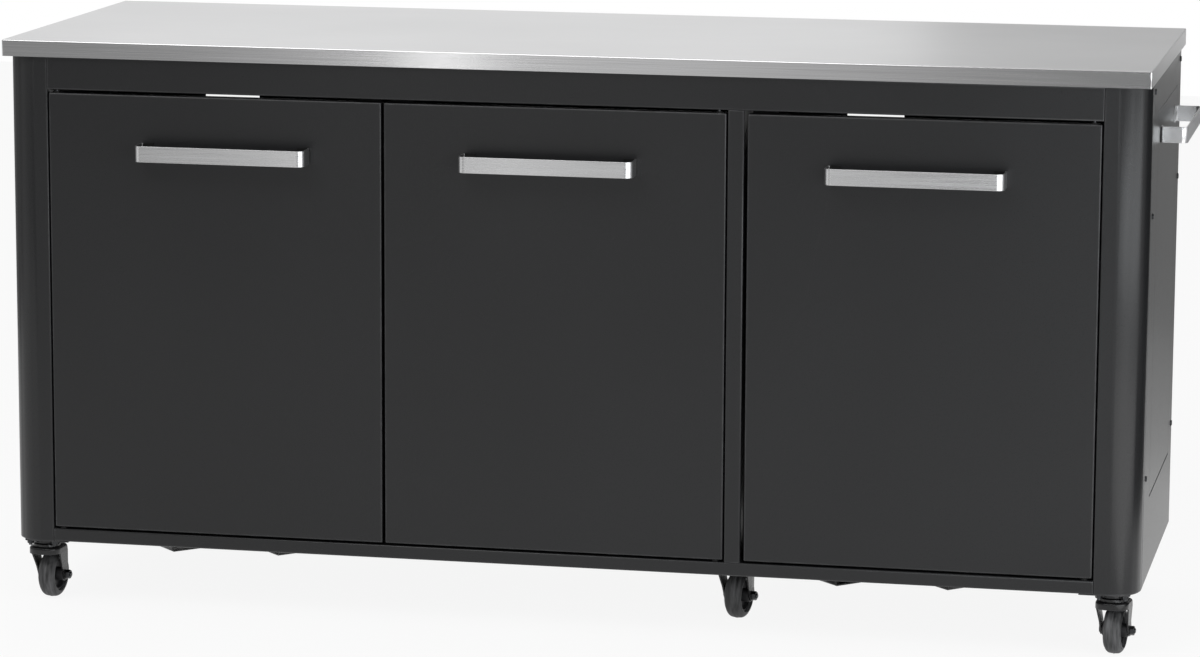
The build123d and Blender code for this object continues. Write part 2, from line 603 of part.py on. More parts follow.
def hinge_pins():
    """Headed pins, down from the fascia and up from the sill, one pair for each door."""
    pins = []
    for _, left, pivot_side in DOORS:
        x = pivot_x(left, pivot_side)
        upper_seat = RAIL_Z + FRAME_SHEET
        upper = rod(PIN_DIAMETER, DOOR_TOP_Z - PIN_ENGAGEMENT, upper_seat, x, HINGE_Y)
        upper += rod(PIN_HEAD_DIAMETER, upper_seat, upper_seat + PIN_HEAD_HEIGHT, x, HINGE_Y)
        lower_seat = SILL_Z - FRAME_SHEET
        lower = rod(PIN_DIAMETER, lower_seat, DOOR_BOTTOM_Z + PIN_ENGAGEMENT, x, HINGE_Y)
        lower += rod(PIN_HEAD_DIAMETER, lower_seat - PIN_HEAD_HEIGHT, lower_seat, x, HINGE_Y)
        pins += [upper, lower]
    return group(pins)


def magnetic_catches():
    """Catches under the fascia, behind the free edge of each door."""
    front = FRONT_Y + DOOR_THICKNESS + CATCH_GAP
    catches = []
    for _, left, pivot_side in DOORS:
        free_edge = left + DOOR_WIDTH if pivot_side < 0 else left
        x = free_edge + pivot_side * CATCH_FROM_EDGE
        low = x - CATCH_WIDTH / 2
        catch = block(low, low + CATCH_WIDTH, front, front + CATCH_DEPTH, RAIL_Z - CATCH_HEIGHT, RAIL_Z)
        catches.append(catch)
    return group(catches)


def bolt_offsets():
    """The four bolt places of a caster plate, from its middle."""
    half_x = CASTER_BOLT_SPACING_X / 2
    half_y = CASTER_BOLT_SPACING_Y / 2
    return [(x, y) for x in (-half_x, half_x) for y in (-half_y, half_y)]


def bolt_holes(x, y, z0, z1):
    """Holes for a caster's four bolts between two heights."""
    diameter = CASTER_BOLT_DIAMETER + 2 * CASTER_BOLT_CLEARANCE
    return [rod(diameter, z0, z1, x + dx, y + dy) for dx, dy in bolt_offsets()]


def front_mount():
    """Plate under the right front post, round like the post, that takes a caster."""
    inner = JAMB_X - MOUNT_LAP
    outer = SIDE_X - MOUNT_SETBACK
    front = FRONT_Y + MOUNT_SETBACK
    plate = block(inner, outer, front, front + MOUNT_LENGTH, MOUNT_Z, BASE_Z)
    corner = plate.edges().filter_by(Axis.Z).sort_by(lambda edge: edge.center().Y - edge.center().X)[0]
    return fillet(corner, POST_RADIUS - MOUNT_SETBACK)


def back_mount():
    """Plate under the right rear corner that takes a caster."""
    inner = JAMB_X - MOUNT_LAP
    outer = SIDE_X - MOUNT_SETBACK
    back = BACK_Y - MOUNT_SETBACK
    reach = CASTER_FROM_BACK + TOP_PLATE_LENGTH / 2
    return block(inner, outer, back - reach, back, MOUNT_Z, BASE_Z)


def middle_mount(x, y):
    """Hat-shaped bracket under the floor that takes a middle caster."""
    top = SILL_Z - WALL_SHEET - MOUNT_SHEET
    half = MOUNT_HAT_WIDTH / 2
    foot = half + MOUNT_HAT_FOOT
    points = [(-foot, top), (-half, top), (-half, MOUNT_Z), (half, MOUNT_Z), (half, top), (foot, top)]
    hat = folded(points, BEND_RADIUS, MOUNT_SHEET, MOUNT_LENGTH, Side.LEFT, FRONT_VIEW)
    return Pos(x, y + MOUNT_LENGTH / 2, 0) * hat


def caster_mounts():
    """Plates and brackets between the cabinet and the casters, drilled for the bolts."""
    blanks = {"front_right": front_mount(), "back_right": back_mount()}
    blanks["front_left"] = mirrored(blanks["front_right"])
    blanks["back_left"] = mirrored(blanks["back_right"])
    for name, (x, y) in MIDDLE_CASTERS.items():
        blanks[name] = middle_mount(x, y)
    return group([blanks[name] - bolt_holes(x, y, MOUNT_Z, BASE_Z) for name, (x, y) in CASTERS.items()])


def caster_plate():
    """Top plate of a caster with its pressed dome and the riveted kingpin, at the origin."""
    outline = RectangleRounded(TOP_PLATE_WIDTH, TOP_PLATE_LENGTH, TOP_PLATE_RADIUS)
    plate = Pos(0, 0, TOP_PLATE_Z) * extrude(outline, TOP_PLATE_SHEET)
    dome = rod(DOME_DIAMETER, DOME_Z, TOP_PLATE_Z)
    dome = fillet(dome.edges().sort_by(Axis.Z)[0], DOME_EDGE_RADIUS)
    head_top = CROWN_Z - RACE_GAP
    kingpin = rod(KINGPIN_DIAMETER, head_top, DOME_Z)
    head = rod(KINGPIN_HEAD_DIAMETER, head_top - KINGPIN_HEAD_HEIGHT, head_top)
    return plate + dome + kingpin + head - bolt_holes(0, 0, TOP_PLATE_Z, MOUNT_Z)


def caster_plates():
    """The fixed upper halves of the casters."""
    return group([Pos(x, y, 0) * caster_plate() for x, y in CASTERS.values()])


def caster_bolt():
    """A hexagon bolt at the origin, with its head above the mount."""
    tip = TOP_PLATE_Z - CASTER_NUT_HEIGHT - CASTER_BOLT_TIP
    return rod(CASTER_BOLT_DIAMETER, tip, BASE_Z) + hexagon_bar(CASTER_BOLT_HEX, BASE_Z, BASE_Z + CASTER_BOLT_HEAD)


def caster_nut():
    """The nut of a caster bolt at the origin, under the top plate."""
    low = TOP_PLATE_Z - CASTER_NUT_HEIGHT
    bore = CASTER_BOLT_DIAMETER + 2 * SCREW_CLEARANCE
    return hexagon_bar(CASTER_BOLT_HEX, low, TOP_PLATE_Z) - rod(bore, low, TOP_PLATE_Z)


def caster_bolts():
    """Four bolts and nuts for each caster."""
    fasteners = []
    for x, y in CASTERS.values():
        for dx, dy in bolt_offsets():
            fasteners += [Pos(x + dx, y + dy, 0) * piece for piece in (caster_bolt(), caster_nut())]
    return group(fasteners)


def crown_block(inset, top, corner):
    """The fork's crown, drawn in by an inset: round at the front, with soft upper edges."""
    low = CROWN_Z + FORK_SHEET - FORK_SKIRT
    outline = Rectangle(FORK_CROWN_WIDTH - 2 * inset, FORK_CROWN_LENGTH - 2 * inset)
    outline = fillet(outline.vertices().sort_by(Axis.Y)[:2], FORK_NOSE_RADIUS - inset)
    crown = extrude(outline, top - low)
    crown = fillet(crown.faces().sort_by(Axis.Z)[-1].edges(), corner)
    return Pos(0, FORK_CROWN_LENGTH / 2 - FORK_CROWN_NOSE, low) * crown


def fork_legs():
    """A channel bent from one strip, with joggled legs, trimmed to taper towards the axle."""
    crown_top = CROWN_Z + FORK_SHEET
    skirt_z = crown_top - FORK_SKIRT
    half = FORK_INSIDE_WIDTH / 2 + FORK_SHEET
    crown_half = FORK_CROWN_WIDTH / 2
    right_leg = [(crown_half, crown_top), (crown_half, skirt_z), (half, AXLE_Z + FORK_KNEE)]
    right_leg.append((half, AXLE_Z - FORK_BOSS_RADIUS))
    points = [(-x, z) for x, z in reversed(right_leg)] + right_leg
    front = FORK_NOSE_RADIUS - FORK_CROWN_NOSE
    reach = FORK_TRAIL + FORK_BOSS_RADIUS
    channel = folded(points, FORK_BEND_RADIUS, FORK_SHEET, reach - front, Side.RIGHT, FRONT_VIEW)
    back = FORK_CROWN_LENGTH - FORK_CROWN_NOSE
    crown = Pos((front + back) / 2, crown_top - FORK_SKIRT / 2) * Rectangle(back - front, FORK_SKIRT)
    boss = Pos(FORK_TRAIL, AXLE_Z) * Circle(FORK_BOSS_RADIUS)
    side_view = make_hull(crown.edges() + boss.edges())
    side_view -= Pos(FORK_TRAIL, AXLE_Z) * Circle(AXLE_DIAMETER / 2 + AXLE_CLEARANCE)
    trim = extrude(END_VIEW * side_view, crown_half, both=True)
    return (Pos(0, reach, 0) * channel) & trim


def caster_fork():
    """Pressed fork at the origin: a skirted crown with legs, under a bearing race."""
    crown = crown_block(0, CROWN_Z + FORK_SHEET, FORK_BEND_RADIUS)
    crown -= crown_block(FORK_SHEET, CROWN_Z, FORK_BEND_RADIUS - FORK_SHEET)
    race = rod(RACE_DIAMETER, RACE_Z, RACE_Z + RACE_HEIGHT)
    race = fillet(race.edges().sort_by(Axis.Z)[-1], RACE_GAP)
    bore = KINGPIN_DIAMETER + 2 * KINGPIN_CLEARANCE
    return crown + fork_legs() + race - rod(bore, CROWN_Z, RACE_Z + RACE_HEIGHT)


def caster_axle():
    """Axle bolt with a low head on the left fork leg, and its nut on the right one, two solids."""
    half = FORK_INSIDE_WIDTH / 2 + FORK_SHEET
    tip = half + AXLE_NUT_HEIGHT + AXLE_TIP
    bolt = rod(AXLE_DIAMETER, -half, tip)
    bolt = chamfer(bolt.edges().sort_by(Axis.Z)[-1], AXLE_TIP / 2)
    head = rod(AXLE_HEAD_DIAMETER, -half - AXLE_HEAD_HEIGHT, -half)
    bolt += fillet(head.edges().sort_by(Axis.Z)[0], AXLE_HEAD_HEIGHT / 2)
    nut = hexagon_bar(AXLE_HEX, half, half + AXLE_NUT_HEIGHT)
    nut -= rod(AXLE_DIAMETER + 2 * SCREW_CLEARANCE, half, half + AXLE_NUT_HEIGHT)
    place = Pos(0, FORK_TRAIL, AXLE_Z) * Rot(0, 90, 0)
    return [place * bolt, place * nut]


def on_axle(section):
    """A turned wheel part: a section in the plane of the axle, revolved about the axle."""
    turned = revolve(section, Axis.Y)
    return Pos(0, FORK_TRAIL, AXLE_Z) * Rot(0, 0, -90) * turned


def wheel_hub():
    """Turned hub: a rim for the tyre, a thin web and a long boss on the axle."""
    bore = AXLE_DIAMETER / 2 + AXLE_CLEARANCE
    rim = WHEEL_DIAMETER / 2 - TYRE_DEPTH - TYRE_SEAT_GAP
    rim_width = TYRE_WIDTH - 2 * HUB_RIM_THICKNESS
    boss_length = FORK_INSIDE_WIDTH - 2 * HUB_SIDE_GAP
    boss = HUB_BOSS_DIAMETER / 2
    web_middle = (bore + rim) / 2
    section = Pos((bore + boss) / 2, 0) * Rectangle(boss - bore, boss_length)
    section += Pos(web_middle, 0) * Rectangle(rim - bore, HUB_WEB_THICKNESS)
    section += Pos(rim - HUB_RIM_THICKNESS / 2, 0) * Rectangle(HUB_RIM_THICKNESS, rim_width)
    return on_axle(section)


def wheel_tyre():
    """Turned rubber tyre with round shoulders."""
    outer = WHEEL_DIAMETER / 2
    inner = outer - TYRE_DEPTH
    section = Pos((outer + inner) / 2, 0) * Rectangle(outer - inner, TYRE_WIDTH)
    shoulders = section.vertices().sort_by(Axis.X)[-2:]
    return on_axle(fillet(shoulders, TYRE_SHOULDER_RADIUS))


def cabinet_nodes():
    """The pieces of the fixed cabinet."""
    frame = side_frame()
    panel = side_panel()
    post = corner_post()
    handle = side_handle()
    strip = nut_strip()
    return {
        "worktop": worktop(),
        "worktop_stiffeners": worktop_stiffeners(),
        "corner_post_left": mirrored(post),
        "corner_post_right": post,
        "top_rail": top_rail(),
        "bottom_rail": bottom_rail(),
        "divider_wall": divider_wall(),
        "side_frame_left": mirrored(frame),
        "side_frame_right": frame,
        "side_panels": group([mirrored(panel), panel]),
        "back_panel": back_panel(),
        "rear_nut_strips": group([mirrored(strip), strip]),
        "floor_panel": floor_panel(),
        "bottle_cradles": bottle_cradles(),
        "side_handles": group([mirrored(handle), handle]),
        "side_screws": side_screws(),
        "hinge_pins": hinge_pins(),
        "magnetic_catches": magnetic_catches(),
        "caster_mounts": caster_mounts(),
        "caster_plates": caster_plates(),
        "caster_bolts": caster_bolts(),
    }


def door_nodes(name, left, pivot_side):
    """The pieces of one door."""
    return {
        f"door_skin_{name}": door_skin(left, pivot_side),
        f"door_liner_{name}": door_liner(left),
        f"door_handle_{name}": handle_place(left, pivot_side) * strip_handle(),
        f"door_handle_screws_{name}": door_handle_screws(left, pivot_side),
        f"door_bushes_{name}": door_bushes(left, pivot_side),
    }


def caster_nodes(name, x, y):
    """The moving pieces of one caster."""
    place = Pos(x, y, 0) * Rot(0, 0, CASTER_TURNS.get(name, 0.0))
    return {
        f"caster_fork_{name}": place * caster_fork(),
        f"caster_axle_{name}": group([place * piece for piece in caster_axle()]),
        f"wheel_hub_{name}": place * wheel_hub(),
        f"wheel_tyre_{name}": place * wheel_tyre(),
    }


def all_nodes():
    """Every piece of the table by its node name."""
    nodes = cabinet_nodes()
    for name, left, pivot_side in DOORS:
        nodes.update(door_nodes(name, left, pivot_side))
    for name, (x, y) in CASTERS.items():
        nodes.update(caster_nodes(name, x, y))
    return nodes


os.makedirs("parts", exist_ok=True)
for node, shape in all_nodes().items():
    export_step(shape, f"parts/{node}.step")

print("door width", round(DOOR_WIDTH, 2), "door height", round(DOOR_HEIGHT, 2))
for name, left, pivot_side in DOORS:
    print("pivot", name, round(pivot_x(left, pivot_side), 2), round(HINGE_Y, 2))
for name, (x, y) in CASTERS.items():
    print("caster", name, round(x, 2), round(y, 2), "turned", CASTER_TURNS.get(name, 0.0))
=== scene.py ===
# %% [markdown]
# A rolling outdoor-kitchen table: a stainless worktop on a dark powder-coated cabinet, with strip
# handles and swivel casters. The solids come from the CAD model, already in place and in metres.
# This lesson gives them their finishes and soft edges, bends finer handles and moulds finer tyres,
# then sets up a bright studio around them.

import json
import math

import bmesh
import bpy
from mathutils import Matrix, Vector


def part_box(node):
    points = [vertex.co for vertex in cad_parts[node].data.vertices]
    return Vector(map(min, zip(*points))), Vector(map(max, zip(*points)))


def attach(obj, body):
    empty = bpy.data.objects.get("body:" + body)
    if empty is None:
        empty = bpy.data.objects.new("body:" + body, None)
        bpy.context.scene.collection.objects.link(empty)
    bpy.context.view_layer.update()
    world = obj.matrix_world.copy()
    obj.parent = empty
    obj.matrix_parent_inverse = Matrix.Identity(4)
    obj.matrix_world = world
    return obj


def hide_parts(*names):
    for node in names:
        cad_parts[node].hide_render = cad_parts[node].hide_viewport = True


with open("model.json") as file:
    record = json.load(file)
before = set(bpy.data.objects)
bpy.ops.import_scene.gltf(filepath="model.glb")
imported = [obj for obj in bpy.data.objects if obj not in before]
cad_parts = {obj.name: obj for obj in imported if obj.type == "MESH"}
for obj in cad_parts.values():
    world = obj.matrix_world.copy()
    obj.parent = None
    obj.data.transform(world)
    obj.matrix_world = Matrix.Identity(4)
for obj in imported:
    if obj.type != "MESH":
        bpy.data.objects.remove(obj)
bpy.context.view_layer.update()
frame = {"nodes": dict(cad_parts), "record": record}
nodes = frame["nodes"]

# %% [markdown]
# The camera is worked out from the photograph's own perspective. A long lens far away keeps the
# uprights almost parallel. A camera could be aimed with a Track To constraint, but three axis
# vectors written into its matrix also hold the small roll that a constraint would remove.

# %% Camera
CAMERA_TARGET = Vector((0.0617, -0.299, 0.48825))
CAMERA_DISTANCE = 6.9492
CAMERA_AZIMUTH = math.radians(11.800)
CAMERA_ELEVATION = math.radians(9.866)
CAMERA_ROLL = math.radians(0.274)
LENS_MM = 135.18
SENSOR_MM = 36.0
FAR_CLIP = 60.0


def add_camera():
    """Make the photograph's camera and its matrix from azimuth, elevation and roll."""
    level = math.cos(CAMERA_ELEVATION)
    back = Vector((math.sin(CAMERA_AZIMUTH) * level, -math.cos(CAMERA_AZIMUTH) * level,
                   math.sin(CAMERA_ELEVATION)))
    right = Vector((0, 0, 1)).cross(back).normalized()
    up = back.cross(right)
    turn = Matrix.Rotation(CAMERA_ROLL, 3, back)
    axes = Matrix((turn @ right, turn @ up, back)).transposed().to_4x4()
    data = bpy.data.cameras.new("photo_camera")
    data.sensor_fit = "HORIZONTAL"
    data.sensor_width = SENSOR_MM
    data.lens = LENS_MM
    data.clip_end = FAR_CLIP
    camera = bpy.data.objects.new("photo_camera", data)
    camera.matrix_world = Matrix.Translation(CAMERA_TARGET + back * CAMERA_DISTANCE) @ axes
    bpy.context.scene.collection.objects.link(camera)
    return camera


bpy.context.scene.camera = add_camera()
bpy.context.scene.view_settings.view_transform = "Standard"
print("camera at", [round(v, 3) for v in bpy.context.scene.camera.location])

# %% [markdown]
# Every finish is a small node graph. A few helpers keep the graphs readable: one makes a material
# with its shader, one adds a node and fills in its inputs by name, and the rest are the short
# chains of nodes that most finishes share.

# %% Material helpers


def new_material(name):
    """Return a material, its node tree and its Principled shader."""
    material = bpy.data.materials.new(name)
    material.use_nodes = True
    tree = material.node_tree
    return material, tree, tree.nodes["Principled BSDF"]


def add_node(tree, kind, settings=None, **inputs):
    """Add a node, set its properties and inputs; a socket given as a value is linked."""
    node = tree.nodes.new(kind)
    for key, value in (settings or {}).items():
        setattr(node, key, value)
    for key, value in inputs.items():
        socket = node.inputs[key.replace("_", " ")]
        if isinstance(value, bpy.types.NodeSocket):
            tree.links.new(value, socket)
        else:
            socket.default_value = value
    return node


NOISE_RANGE = (0.3, 0.7)
SOFT_DETAIL, SOME_DETAIL, FINE_DETAIL = 2.0, 3.0, 4.0


def ramp(tree, source, tones, over=NOISE_RANGE):
    """Spread a range of values over two tones; most of a noise lies in the usual range."""
    node = add_node(tree, "ShaderNodeMapRange", Value=source)
    keys = ("From Min", "From Max", "To Min", "To Max")
    for key, value in zip(keys, (*over, *tones)):
        node.inputs[key].default_value = value
    return node.outputs["Result"]


def around(middle, swing):
    """Two tones, one below and one above a middle."""
    return middle - swing, middle + swing


def product(tree, first, second):
    """Two values multiplied."""
    node = add_node(tree, "ShaderNodeMath", {"operation": "MULTIPLY"})
    tree.links.new(first, node.inputs[0])
    tree.links.new(second, node.inputs[1])
    return node.outputs[0]


def stretched_noise(tree, scale, detail):
    """Noise in the object's own metres, with its own scale along each axis."""
    place = add_node(tree, "ShaderNodeTexCoord").outputs["Object"]
    mapped = add_node(tree, "ShaderNodeMapping", Vector=place)
    mapped.inputs["Scale"].default_value = scale
    noise = add_node(tree, "ShaderNodeTexNoise", Vector=mapped.outputs["Vector"], Scale=1.0,
                     Detail=detail)
    return noise.outputs["Fac"]


def tinted(tree, colour, tone):
    """A colour made darker and paler by a grey value."""
    tint = add_node(tree, "ShaderNodeMix", {"data_type": "RGBA", "blend_type": "MULTIPLY"})
    tint.inputs["Factor"].default_value = 1.0
    tint.inputs["A"].default_value = (*colour, 1.0)
    tree.links.new(tone, tint.inputs["B"])
    return tint.outputs["Result"]


def two_tones(tree, source, dark, pale, stops=(0.0, 1.0)):
    """A colour between a dark and a pale one, picked by a noise."""
    node = add_node(tree, "ShaderNodeValToRGB", Fac=source)
    for stop, place, tone in zip(node.color_ramp.elements, stops, (dark, pale)):
        stop.position = place
        stop.color = (*tone, 1.0)
    return node.outputs["Color"]


def add_bump(tree, shader, height, strength, distance):
    """Let a height value tilt the surface."""
    bump = add_node(tree, "ShaderNodeBump", Height=height, Strength=strength, Distance=distance)
    tree.links.new(bump.outputs["Normal"], shader.inputs["Normal"])


# %% [markdown]
# Brushed stainless steel is polished with a belt, which leaves fine scratches in one direction.
# A noise squeezed across the scratches and drawn out along them changes the roughness and the
# colour a little and tilts the surface, so highlights smear across the grain. An anisotropic
# shader could do it too, but the grain would then not be seen close up. Faces that look to the
# front are rubbed smoother by hands and cloths, so their roughness falls.

# %% Brushed stainless steel
SCRATCH_TONES = (0.9, 1.08)
SCRATCH_ROUGHNESS = (0.85, 1.2)
SCRATCH_BUMP = (0.12, 0.0002)
STEEL_CLOUDS = (3.0, 3.0, 3.0)
STEEL_CLOUD_TONES = (0.97, 1.03)
TURNED_TO_FRONT = (-0.9, -0.5)


def brushed_steel(name, scale, colour, roughness, front_roughness):
    """Steel with a grain whose scale along X, Y and Z is given, and a smoother front."""
    material, tree, shader = new_material(name)
    grain = stretched_noise(tree, scale, FINE_DETAIL)
    cloud = stretched_noise(tree, STEEL_CLOUDS, SOFT_DETAIL)
    tone = product(tree, ramp(tree, grain, SCRATCH_TONES), ramp(tree, cloud, STEEL_CLOUD_TONES))
    tree.links.new(tinted(tree, colour, tone), shader.inputs["Base Color"])
    normal = add_node(tree, "ShaderNodeNewGeometry").outputs["Normal"]
    facing = add_node(tree, "ShaderNodeSeparateXYZ", Vector=normal).outputs["Y"]
    polish = ramp(tree, facing, (front_roughness, roughness), TURNED_TO_FRONT)
    rough = product(tree, polish, ramp(tree, grain, SCRATCH_ROUGHNESS))
    tree.links.new(rough, shader.inputs["Roughness"])
    shader.inputs["Metallic"].default_value = 1.0
    add_bump(tree, shader, grain, *SCRATCH_BUMP)
    return material


GRAIN_ALONG_X = (6.0, 1400.0, 1400.0)
GRAIN_ALONG_Y = (1400.0, 6.0, 1400.0)
worktop_steel = brushed_steel("worktop_steel", GRAIN_ALONG_X, (0.62, 0.62, 0.625),
                              roughness=0.34, front_roughness=0.13)
handle_steel = brushed_steel("handle_steel", GRAIN_ALONG_X, (0.6, 0.6, 0.605),
                             roughness=0.3, front_roughness=0.26)
# the side handles' steel is a darker copy of the handle steel: painted shade
side_handle_steel = brushed_steel("side_handle_steel", GRAIN_ALONG_Y, (0.55, 0.55, 0.555),
                                  roughness=0.6, front_roughness=0.22)
print("steel finishes", worktop_steel.name, handle_steel.name, side_handle_steel.name)

# %% [markdown]
# Powder coat is plastic dust baked to a skin. It is satin, almost black, and a close look shows a
# fine orange-peel texture. Two noises do that: a fine one for the peel, and a very large and weak
# one for the slight unevenness of a sprayed coat. Edges are painted a paler grey, broken up along
# them, as a painted highlight for the thin line of light that edges catch. The Bevel node finds
# them: near an edge its rounded normal turns away from the real one.

# %% Powder coat
# the paler grey that edges are painted with: a painted highlight
EDGE_HIGHLIGHT_GREY = (0.1, 0.1, 0.104, 1.0)
EDGE_HIGHLIGHT_PATCHES = (35.0, 35.0, 35.0)
EDGE_HIGHLIGHT_SHARE = (0.2, 0.9)
EDGE_TURN = (0.8, 0.995)
EDGE_SAMPLES = 4
PEEL_SCALE = (900.0, 900.0, 900.0)
PEEL_ROUGHNESS = 0.05
PEEL_BUMP = (0.12, 0.0004)
COAT_CLOUDS = (2.2, 2.2, 1.6)
COAT_CLOUD_TONES = (0.88, 1.12)


# the mask for the painted edge highlight
def painted_edge_highlight(tree, width):
    """1 on edges, which get a painted highlight, and 0 on open faces, broken up along the edge."""
    bevel = add_node(tree, "ShaderNodeBevel", {"samples": EDGE_SAMPLES}, Radius=width)
    real = add_node(tree, "ShaderNodeNewGeometry").outputs["Normal"]
    turn = add_node(tree, "ShaderNodeVectorMath", {"operation": "DOT_PRODUCT"})
    tree.links.new(bevel.outputs["Normal"], turn.inputs[0])
    tree.links.new(real, turn.inputs[1])
    edge = ramp(tree, turn.outputs["Value"], (1.0, 0.0), EDGE_TURN)
    patches = ramp(tree, stretched_noise(tree, EDGE_HIGHLIGHT_PATCHES, SOME_DETAIL), EDGE_HIGHLIGHT_SHARE)
    return product(tree, edge, patches)


def powder_coat(name, colour, roughness, specular, edge_width):
    """Satin coat with orange peel, a slight cloudiness and edges painted paler as a highlight."""
    material, tree, shader = new_material(name)
    peel = stretched_noise(tree, PEEL_SCALE, SOFT_DETAIL)
    cloud = stretched_noise(tree, COAT_CLOUDS, SOFT_DETAIL)
    # paler edges: a painted highlight
    edge_highlight = painted_edge_highlight(tree, edge_width)
    highlighted_edges = add_node(tree, "ShaderNodeMix", {"data_type": "RGBA"}, Factor=edge_highlight)
    tree.links.new(tinted(tree, colour, ramp(tree, cloud, COAT_CLOUD_TONES)), highlighted_edges.inputs["A"])
    highlighted_edges.inputs["B"].default_value = EDGE_HIGHLIGHT_GREY
    tree.links.new(highlighted_edges.outputs["Result"], shader.inputs["Base Color"])
    rough = ramp(tree, peel, around(roughness, PEEL_ROUGHNESS))
    tree.links.new(rough, shader.inputs["Roughness"])
    shader.inputs["Specular IOR Level"].default_value = specular
    add_bump(tree, shader, peel, *PEEL_BUMP)
    return material


cabinet_coat = powder_coat("cabinet_coat", (0.0095, 0.0097, 0.0104),
                           roughness=0.31, specular=0.37, edge_width=0.003)
fork_coat = powder_coat("fork_coat", (0.006, 0.006, 0.0065),
                        roughness=0.27, specular=0.42, edge_width=0.0006)
print("coats", cabinet_coat.name, fork_coat.name)

# %% [markdown]
# The small parts: bright and black zinc plate on plates, pins, bolts, axles and screws, moulded
# plastic for hubs, bushes and catches, and black rubber for the tyres. Rolling rubs paler streaks
# into the rubber, so its grain is fine across the tread and drawn out round the wheel.

# %% Zinc, plastic and rubber
SPANGLE_SCALE = (160.0, 160.0, 160.0)
SPANGLE_ROUGHNESS = (0.28, 0.44)
FINE_GRAIN = (450.0, 450.0, 450.0)
TREAD_STREAKS = (210.0, 28.0, 28.0)
GRAIN_STOPS = (0.3, 0.75)
GRAIN_ROUGHNESS = 0.08
GRAIN_BUMP = (0.15, 0.0003)


def zinc_plate(name, dark, pale):
    """Zinc with faint crystals between two tones."""
    material, tree, shader = new_material(name)
    spangle = stretched_noise(tree, SPANGLE_SCALE, SOME_DETAIL)
    tree.links.new(two_tones(tree, spangle, dark, pale), shader.inputs["Base Color"])
    tree.links.new(ramp(tree, spangle, SPANGLE_ROUGHNESS), shader.inputs["Roughness"])
    shader.inputs["Metallic"].default_value = 1.0
    return material


def moulded(name, dark, pale, scale, roughness, specular):
    """Moulded plastic or rubber: a grain between two tones."""
    material, tree, shader = new_material(name)
    grain = stretched_noise(tree, scale, FINE_DETAIL)
    tone = two_tones(tree, grain, dark, pale, GRAIN_STOPS)
    tree.links.new(tone, shader.inputs["Base Color"])
    rough = ramp(tree, grain, around(roughness, GRAIN_ROUGHNESS))
    tree.links.new(rough, shader.inputs["Roughness"])
    shader.inputs["Specular IOR Level"].default_value = specular
    add_bump(tree, shader, grain, *GRAIN_BUMP)
    return material


zinc = zinc_plate("zinc", (0.42, 0.43, 0.44), (0.62, 0.63, 0.64))
black_zinc = zinc_plate("black_zinc", (0.035, 0.036, 0.038), (0.07, 0.072, 0.075))
hub_plastic = moulded("hub_plastic", (0.014, 0.014, 0.015), (0.024, 0.024, 0.026), FINE_GRAIN,
                      roughness=0.5, specular=0.5)
tyre_rubber = moulded("tyre_rubber", (0.008, 0.008, 0.008), (0.13, 0.13, 0.133), TREAD_STREAKS,
                      roughness=0.58, specular=0.35)
dark_plastic = moulded("dark_plastic", (0.004, 0.004, 0.004), (0.008, 0.008, 0.008), FINE_GRAIN,
                       roughness=0.6, specular=0.12)
small_finishes = (zinc, black_zinc, hub_plastic, tyre_rubber, dark_plastic)
print("small finishes", [material.name for material in small_finishes])

# %% [markdown]
# Each node already belongs to one of the record's material slots, so the finishes are given out
# by slot. Two kinds of piece differ: the two side handles run front to back, so their grain does
# too, and their darker steel is painted shade; the side screws and hinge pins are blackened to
# vanish against the coat.

# %% Give out the finishes
FINISH_BY_SLOT = {
    "stainless": worktop_steel,
    "powder_coat": cabinet_coat,
    "zinc_plate": zinc,
    "black_zinc": black_zinc,
    "fork_coat": fork_coat,
    "hub_plastic": hub_plastic,
    "tyre_rubber": tyre_rubber,
    "bush_plastic": dark_plastic,
    "catch_plastic": dark_plastic,
}


def finish(piece, material):
    """Give a piece one material."""
    piece.data.materials.clear()
    piece.data.materials.append(material)


for entry in frame["record"]["subparts"]:
    finish(nodes[entry["node"]], FINISH_BY_SLOT[entry["material_slot"]])
# the side handles' darker steel is painted shade
finish(nodes["side_handles"], side_handle_steel)
for name in ("side_screws", "hinge_pins"):
    finish(nodes[name], black_zinc)

# %% [markdown]
# Real sheet metal has no razor edges: a deburred edge catches a thin line of light. The Bevel
# modifier rounds every sharp edge by a fraction of a millimetre. The imported faces don't share
# their vertices, so a Weld modifier joins them first. Small turned parts stay plain, and so do the
# door handles and tyres, which finer ones replace further on.

# %% Soft edges
EDGE_ROUNDING = {"worktop": 0.0009, "side_handles": 0.0005}
DEFAULT_ROUNDING = 0.0003
PLAIN_PARTS = ("caster_bolts", "caster_plates", "hinge_pins", "side_screws", "wheel_",
               "door_bushes", "door_handle_", "caster_axle")
WELD_REACH = 0.00001
BEVEL_SEGMENTS = 2
BEVEL_ANGLE = math.radians(40)


def soften(piece, width):
    """Round a piece's sharp edges with modifiers; its mesh stays as it is."""
    weld = piece.modifiers.new("join_faces", "WELD")
    weld.merge_threshold = WELD_REACH
    bevel = piece.modifiers.new("soft_edges", "BEVEL")
    bevel.width = width
    bevel.segments = BEVEL_SEGMENTS
    bevel.limit_method = "ANGLE"
    bevel.angle_limit = BEVEL_ANGLE
    bevel.harden_normals = True


softened = 0
for name, piece in nodes.items():
    if not name.startswith(PLAIN_PARTS):
        soften(piece, EDGE_ROUNDING.get(name, DEFAULT_ROUNDING))
        softened += 1
print("soft edges on", softened, "nodes")

# %% [markdown]
# A door handle is a flat steel strip, bent to a low bridge with wide, soft corners. Its two short
# feet lie on the door in the strip's shade, and they get black plastic, which is painted shade. The
# CAD strip has tighter corners, so a finer one takes its place. Half of its plan is drawn from two
# bends, mirrored, and given the strip's height. A curve with a bevel could do it too, but it would
# round the flat faces.

